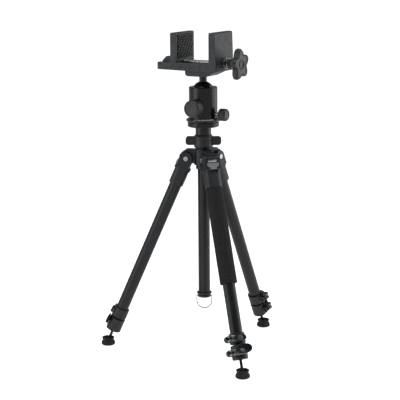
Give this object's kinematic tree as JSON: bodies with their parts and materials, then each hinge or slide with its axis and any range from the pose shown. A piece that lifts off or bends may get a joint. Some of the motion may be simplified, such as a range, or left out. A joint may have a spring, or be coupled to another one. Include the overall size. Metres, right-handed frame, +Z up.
{
  "type": "field tripod with clamping saddle",
  "caption": "Compact field tripod with telescoping legs, a sliding centre column, a locking ball head and a screw-driven saddle with padded jaws.",
  "frame": {"origin": "on the floor, at the centre of the box round the whole object; the column's axis stands beside it, off centre because of where the feet are", "axes": "+Z up along the centre column; +X along the saddle's rails, from the sliding jaw to the fixed jaw and its knob; -Y towards the ball-lock knob"},
  "size_m": [0.396, 0.3836, 0.686],
  "materials": {
    "tube_black": "satin black anodised tube",
    "casting_black": "satin black painted casting",
    "head_black": "semi-gloss black anodised",
    "ball_black": "polished black ball",
    "saddle_grey": "dark grey moulded nylon, fine grain",
    "plastic_black": "black moulded nylon",
    "knob_black": "dark grey moulded knob",
    "lever_dark": "dark satin lever",
    "latch_grey": "grey die-cast latch",
    "pad_rubber": "black rubber with a diamond tread",
    "foot_rubber": "black rubber",
    "foam_black": "closed-cell black foam",
    "steel": "plated steel",
    "rod_black": "black oxide steel rod",
    "brass": "turned brass"
  },
  "bodies": {
    "shoulder": {"shoulder": "casting_black", "leg_hinge_bolts": "steel", "column_bush": "plastic_black"},
    "column": {"column_tube": "tube_black", "column_end_cap": "plastic_black", "head_plate": "head_black", "head_stud": "steel", "pan_base": "head_black"},
    "column_lock": {"column_lock_collar": "plastic_black"},
    "hook": {"weight_hook": "steel"},
    "head": {"head_housing": "head_black", "ball_seat": "brass"},
    "ball_lock": {"ball_lock_spindle": "steel", "ball_lock_knob": "knob_black"},
    "pan_lock": {"pan_lock_spindle": "steel", "pan_lock_knob": "knob_black"},
    "ball": {"ball_stem": "ball_black", "saddle_stud": "steel"},
    "saddle": {"saddle_frame": "saddle_grey", "fixed_jaw_pad": "pad_rubber"},
    "jaw": {"sliding_jaw": "saddle_grey", "sliding_jaw_pad": "pad_rubber", "jaw_nut": "brass"},
    "screw": {"lead_screw": "steel", "screw_washers": "steel", "clamp_knob": "knob_black"},
    "leg_1": {"leg_yoke_1": "casting_black", "upper_tube_1": "tube_black", "upper_clamp_1": "plastic_black"},
    "latch_1": {"angle_latch_1": "latch_grey"},
    "upper_lever_1": {"upper_lever_1": "lever_dark"},
    "middle_1": {"middle_tube_1": "tube_black", "lower_clamp_1": "plastic_black"},
    "lower_lever_1": {"lower_lever_1": "lever_dark"},
    "lower_1": {"lower_tube_1": "tube_black", "foot_stem_1": "rod_black"},
    "foot_1": {"rubber_foot_1": "foot_rubber"},
    "leg_2": {"leg_yoke_2": "casting_black", "upper_tube_2": "tube_black", "upper_clamp_2": "plastic_black"},
    "latch_2": {"angle_latch_2": "latch_grey"},
    "upper_lever_2": {"upper_lever_2": "lever_dark"},
    "middle_2": {"middle_tube_2": "tube_black", "lower_clamp_2": "plastic_black"},
    "lower_lever_2": {"lower_lever_2": "lever_dark"},
    "lower_2": {"lower_tube_2": "tube_black", "foot_stem_2": "rod_black"},
    "foot_2": {"rubber_foot_2": "foot_rubber"},
    "leg_3": {"leg_yoke_3": "casting_black", "upper_tube_3": "tube_black", "upper_clamp_3": "plastic_black", "foam_grip": "foam_black"},
    "latch_3": {"angle_latch_3": "latch_grey"},
    "upper_lever_3": {"upper_lever_3": "lever_dark"},
    "middle_3": {"middle_tube_3": "tube_black", "lower_clamp_3": "plastic_black"},
    "lower_lever_3": {"lower_lever_3": "lever_dark"},
    "lower_3": {"lower_tube_3": "tube_black", "foot_stem_3": "rod_black"},
    "foot_3": {"rubber_foot_3": "foot_rubber"}
  },
  "joints": [
    {"name": "column_slide", "type": "slide", "parent": "shoulder", "child": "column", "axis": [0, 0, 1], "range_m": [0, 0.235]},
    {"name": "column_lock_turn", "type": "hinge", "parent": "shoulder", "child": "column_lock", "pos_m": [0.01863, -0.03669, 0.455], "axis": [0, 0, 1], "range_deg": [0, 90]},
    {"name": "hook_swing", "type": "hinge", "parent": "column", "child": "hook", "pos_m": [0.01863, -0.03669, 0.1195], "axis": [0.891, 0.454, 0], "range_deg": [-45, 45]},
    {"name": "head_pan", "type": "hinge", "parent": "column", "child": "head", "pos_m": [0.01863, -0.03669, 0.512], "axis": [0, 0, 1], "continuous": true},
    {"name": "ball_lock_turn", "type": "hinge", "parent": "head", "child": "ball_lock", "pos_m": [0.01863, -0.07669, 0.529], "axis": [0, -1, 0], "range_deg": [0, 270]},
    {"name": "pan_lock_turn", "type": "hinge", "parent": "head", "child": "pan_lock", "pos_m": [0.06563, -0.03669, 0.514], "axis": [1, 0, 0], "range_deg": [0, 270]},
    {"name": "ball_tilt", "type": "hinge", "parent": "head", "child": "ball", "pos_m": [0.01863, -0.03669, 0.5592], "axis": [-1, 0, 0], "range_deg": [-38, 90]},
    {"name": "saddle_turn", "type": "hinge", "parent": "ball", "child": "saddle", "pos_m": [0.01863, -0.03669, 0.599], "axis": [0, 0, 1], "range_deg": [-180, 180]},
    {"name": "jaw_slide", "type": "slide", "parent": "saddle", "child": "jaw", "axis": [1, 0, 0], "range_m": [0, 0.07]},
    {"name": "screw_spin", "type": "hinge", "parent": "saddle", "child": "screw", "pos_m": [0.08863, -0.03669, 0.6215], "axis": [-1, 0, 0], "range_deg": [0, 5040]},
    {"name": "leg_1_spread", "type": "hinge", "parent": "shoulder", "child": "leg_1", "pos_m": [0.02471, -0.00222, 0.42], "axis": [0.9848, -0.1736, 0], "range_deg": [-23.6, 56.4]},
    {"name": "latch_1_pull", "type": "slide", "parent": "leg_1", "child": "latch_1", "axis": [0.0695, 0.3943, -0.9164], "range_m": [0, 0.003], "stiffness_N_per_m": 500},
    {"name": "upper_lever_1_open", "type": "hinge", "parent": "leg_1", "child": "upper_lever_1", "pos_m": [0.07268, 0.15467, 0.07974], "axis": [0.0695, 0.3943, -0.9164], "range_deg": [0, 110]},
    {"name": "middle_1_slide", "type": "slide", "parent": "leg_1", "child": "middle_1", "axis": [0.0695, 0.3943, -0.9164], "range_m": [0, 0.245]},
    {"name": "lower_lever_1_open", "type": "hinge", "parent": "middle_1", "child": "lower_lever_1", "pos_m": [0.07466, 0.16591, 0.05362], "axis": [0.0695, 0.3943, -0.9164], "range_deg": [0, 110]},
    {"name": "lower_1_slide", "type": "slide", "parent": "middle_1", "child": "lower_1", "axis": [0.0695, 0.3943, -0.9164], "range_m": [0, 0.255]},
    {"name": "foot_1_swivel", "type": "hinge", "parent": "lower_1", "child": "foot_1", "pos_m": [0.05589, 0.17461, 0.009], "axis": [0.9848, -0.1736, 0], "range_deg": [-14, 60]},
    {"name": "leg_2_spread", "type": "hinge", "parent": "shoulder", "child": "leg_2", "pos_m": [-0.01426, -0.04866, 0.42], "axis": [-0.342, 0.9397, 0], "range_deg": [-23.6, 56.4]},
    {"name": "latch_2_pull", "type": "slide", "parent": "leg_2", "child": "latch_2", "axis": [-0.3762, -0.1369, -0.9164], "range_m": [0, 0.003], "stiffness_N_per_m": 500},
    {"name": "upper_lever_2_open", "type": "hinge", "parent": "leg_2", "child": "upper_lever_2", "pos_m": [-0.17412, -0.08557, 0.07974], "axis": [-0.3762, -0.1369, -0.9164], "range_deg": [0, 110]},
    {"name": "middle_2_slide", "type": "slide", "parent": "leg_2", "child": "middle_2", "axis": [-0.3762, -0.1369, -0.9164], "range_m": [0, 0.245]},
    {"name": "lower_lever_2_open", "type": "hinge", "parent": "middle_2", "child": "lower_lever_2", "pos_m": [-0.18485, -0.08947, 0.05362], "axis": [-0.3762, -0.1369, -0.9164], "range_deg": [0, 110]},
    {"name": "lower_2_slide", "type": "slide", "parent": "middle_2", "child": "lower_2", "axis": [-0.3762, -0.1369, -0.9164], "range_m": [0, 0.255]},
    {"name": "foot_2_swivel", "type": "hinge", "parent": "lower_2", "child": "foot_2", "pos_m": [-0.18299, -0.11008, 0.009], "axis": [-0.342, 0.9397, 0], "range_deg": [-14, 60]},
    {"name": "leg_3_spread", "type": "hinge", "parent": "shoulder", "child": "leg_3", "pos_m": [0.04544, -0.05919, 0.42], "axis": [-0.6428, -0.766, 0], "range_deg": [-23.6, 56.4]},
    {"name": "latch_3_pull", "type": "slide", "parent": "leg_3", "child": "latch_3", "axis": [0.3067, -0.2573, -0.9164], "range_m": [0, 0.003], "stiffness_N_per_m": 500},
    {"name": "upper_lever_3_open", "type": "hinge", "parent": "leg_3", "child": "upper_lever_3", "pos_m": [0.15733, -0.17919, 0.07974], "axis": [0.3067, -0.2573, -0.9164], "range_deg": [0, 110]},
    {"name": "middle_3_slide", "type": "slide", "parent": "leg_3", "child": "middle_3", "axis": [0.3067, -0.2573, -0.9164], "range_m": [0, 0.245]},
    {"name": "lower_lever_3_open", "type": "hinge", "parent": "middle_3", "child": "lower_lever_3", "pos_m": [0.16607, -0.18652, 0.05362], "axis": [0.3067, -0.2573, -0.9164], "range_deg": [0, 110]},
    {"name": "lower_3_slide", "type": "slide", "parent": "middle_3", "child": "lower_3", "axis": [0.3067, -0.2573, -0.9164], "range_m": [0, 0.255]},
    {"name": "foot_3_swivel", "type": "hinge", "parent": "lower_3", "child": "foot_3", "pos_m": [0.18299, -0.17461, 0.009], "axis": [-0.6428, -0.766, 0], "range_deg": [-14, 60]}
  ],
  "couplings": [
    {"joint": "screw_spin", "follows": "jaw_slide", "rad_per_m": 1256.6}
  ]
}
